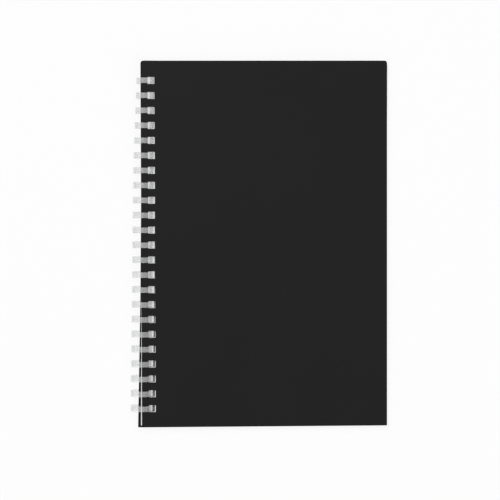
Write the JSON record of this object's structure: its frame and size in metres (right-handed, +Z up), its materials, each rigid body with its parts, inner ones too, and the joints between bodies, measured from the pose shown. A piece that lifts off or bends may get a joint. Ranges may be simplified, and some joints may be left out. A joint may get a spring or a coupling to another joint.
{
  "type": "ring-bound notebook",
  "caption": "Notebook with stiff black covers and a block of blank sheets, bound along one long edge by a clear plastic comb of flat loops.",
  "frame": {"origin": "on the table, under the middle of the notebook's outline as it lies face up", "axes": "+X from the spine to the fore edge, +Y from the tail to the head, +Z up out of the front cover"},
  "size_m": [0.1462, 0.2096, 0.0118],
  "materials": {
    "cover_board": "matte black with a fine grain",
    "paper": "uncoated white paper",
    "clear_comb": "frosted clear plastic with a satin gloss"
  },
  "bodies": {
    "block": {"page_block": "paper", "ring_comb": "clear_comb"},
    "front": {"front_cover": "cover_board"},
    "back": {"back_cover": "cover_board"}
  },
  "joints": [
    {"name": "front_cover_turn", "type": "hinge", "parent": "block", "child": "front", "pos_m": [-0.06722, 0, 0.0059], "axis": [0, -1, 0], "range_deg": [0, 180]},
    {"name": "back_cover_turn", "type": "hinge", "parent": "block", "child": "back", "pos_m": [-0.06722, 0, 0.0059], "axis": [0, 1, 0], "range_deg": [0, 180]}
  ]
}
